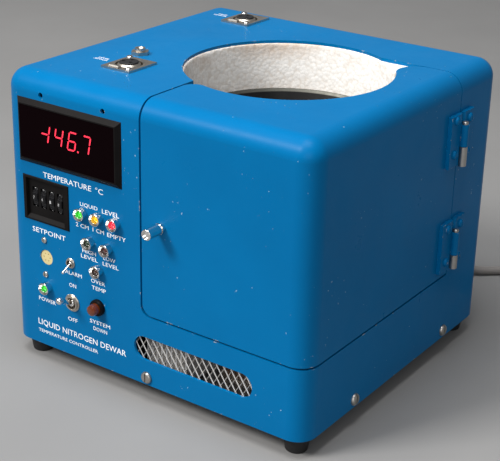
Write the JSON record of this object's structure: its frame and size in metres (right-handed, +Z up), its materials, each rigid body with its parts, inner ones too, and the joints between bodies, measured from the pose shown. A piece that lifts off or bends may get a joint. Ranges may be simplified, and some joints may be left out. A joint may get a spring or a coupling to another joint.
{
  "type": "liquid nitrogen dewar",
  "caption": "Square bench dewar: foam-lined round well with a vacuum vessel, hinged corner door, panel meter, thumbwheels and lamps.",
  "frame": {"origin": "middle of the object's own outline without its cord, on the plane its feet stand on", "axes": "+X to the right seen from the front panel, +Y to the back, +Z up; the front panel faces -Y"},
  "size_m": [0.3769, 0.4156, 0.2295],
  "materials": {
    "blue_paint": "semi-gloss light blue enamel, small chips at the edges",
    "zinc_steel": "zinc plated steel sheet",
    "nickel": "satin nickel plate",
    "chrome": "polished chrome plate",
    "screw_steel": "plated steel screws",
    "hinge_steel": "bare steel, slightly tarnished",
    "mesh_metal": "bright expanded metal",
    "black_rubber": "matt black rubber",
    "white_foam": "white closed-cell bead foam",
    "vessel_steel": "stainless steel",
    "black_cavity": "matt black lining with a bare metal lip",
    "black_plastic": "black moulded plastic",
    "dark_window": "dark red tinted acrylic",
    "red_digits": "lit red segments",
    "wheel_plastic": "black plastic wheels with white numbers",
    "lamp_lens": "coloured lamp lenses",
    "amber_lens": "amber lens",
    "cream_plastic": "cream plastic",
    "switch_body": "switch cases with nickel bushings",
    "magnet": "magnet block in a brown holder",
    "board_green": "green glass-epoxy board",
    "component_mix": "black component bodies",
    "nylon": "natural nylon",
    "core_iron": "varnished iron laminations",
    "winding": "taped copper winding",
    "fin_aluminium": "bright finned aluminium",
    "grey_cord": "grey vinyl cord",
    "plug_grey": "grey moulded vinyl",
    "pin_brass": "brass blades"
  },
  "bodies": {
    "root": {"casing_shell": "blue_paint", "base_pan": "zinc_steel", "panel_screws": "screw_steel", "foot_screws": "screw_steel", "vent_mesh": "mesh_metal", "deck_plate": "zinc_steel", "fixed_foam": "white_foam", "vessel_pad": "white_foam", "vessel_outer_wall": "vessel_steel", "vessel_inner_wall": "black_cavity", "catch_magnet": "magnet", "casing_hinge_leaves": "blue_paint", "hinge_pins": "hinge_steel", "casing_hinge_screws": "screw_steel", "meter_bezel": "black_plastic", "meter_window": "dark_window", "meter_housing": "black_plastic", "meter_digits": "red_digits", "thumbwheel_housing": "black_plastic", "led_bezels": "chrome", "led_lenses": "lamp_lens", "warning_lamp_bezel": "black_plastic", "warning_lamp_lens": "amber_lens", "buzzer": "cream_plastic", "buzzer_screws": "screw_steel", "toggle_switch_bodies": "switch_body", "probe_socket_plates": "nickel", "probe_socket_inserts": "black_plastic", "socket_screws": "screw_steel", "sensor_jack": "chrome", "control_board": "board_green", "board_components": "component_mix", "board_spacers": "nylon", "transformer_core": "core_iron", "transformer_winding": "winding", "heat_sink": "fin_aluminium", "cord_strain_relief": "black_rubber", "mains_cord": "grey_cord", "cord_tail": "grey_cord", "cord_coil": "grey_cord", "plug_body": "plug_grey", "plug_pins": "pin_brass", "rubber_foot_front_left": "black_rubber", "rubber_foot_front_right": "black_rubber", "rubber_foot_rear_left": "black_rubber", "rubber_foot_rear_right": "black_rubber"},
    "door": {"door_shell": "blue_paint", "door_foam": "white_foam", "door_knob": "chrome", "knob_screw": "screw_steel", "door_hinge_leaves": "blue_paint", "door_hinge_screws": "screw_steel"},
    "power_switch_lever": {"power_lever": "chrome"},
    "alarm_switch_lever": {"alarm_lever": "chrome"},
    "front_latch": {"front_latch_tab": "nickel"},
    "rear_latch": {"rear_latch_tab": "nickel"},
    "setpoint_wheel_1": {"thumbwheel_1": "wheel_plastic"},
    "setpoint_wheel_2": {"thumbwheel_2": "wheel_plastic"},
    "setpoint_wheel_3": {"thumbwheel_3": "wheel_plastic"},
    "setpoint_wheel_4": {"thumbwheel_4": "wheel_plastic"}
  },
  "joints": [
    {"name": "door_hinge", "type": "hinge", "parent": "root", "child": "door", "pos_m": [0.1341, 0.07229, 0.14], "axis": [0, 0, 1], "range_deg": [0, 165]},
    {"name": "power_switch", "type": "hinge", "parent": "root", "child": "power_switch_lever", "pos_m": [-0.0737, -0.12011, 0.0578], "axis": [1, 0, 0], "range_deg": [0, 52]},
    {"name": "alarm_switch", "type": "hinge", "parent": "root", "child": "alarm_switch_lever", "pos_m": [-0.0741, -0.12011, 0.0895], "axis": [1, 0, 0], "range_deg": [-56, 0]},
    {"name": "front_latch_press", "type": "slide", "parent": "root", "child": "front_latch", "axis": [0, 0, -1], "range_m": [0, 0.0015], "stiffness_N_per_m": 200, "springref_m": -0.0005},
    {"name": "rear_latch_press", "type": "slide", "parent": "root", "child": "rear_latch", "axis": [0, 0, -1], "range_m": [0, 0.0015], "stiffness_N_per_m": 200, "springref_m": -0.0005},
    {"name": "setpoint_dial_1", "type": "hinge", "parent": "root", "child": "setpoint_wheel_1", "pos_m": [-0.1081, -0.10731, 0.132], "axis": [1, 0, 0], "continuous": true},
    {"name": "setpoint_dial_2", "type": "hinge", "parent": "root", "child": "setpoint_wheel_2", "pos_m": [-0.1001, -0.10731, 0.132], "axis": [1, 0, 0], "continuous": true},
    {"name": "setpoint_dial_3", "type": "hinge", "parent": "root", "child": "setpoint_wheel_3", "pos_m": [-0.0921, -0.10731, 0.132], "axis": [1, 0, 0], "continuous": true},
    {"name": "setpoint_dial_4", "type": "hinge", "parent": "root", "child": "setpoint_wheel_4", "pos_m": [-0.0841, -0.10731, 0.132], "axis": [1, 0, 0], "continuous": true}
  ]
}
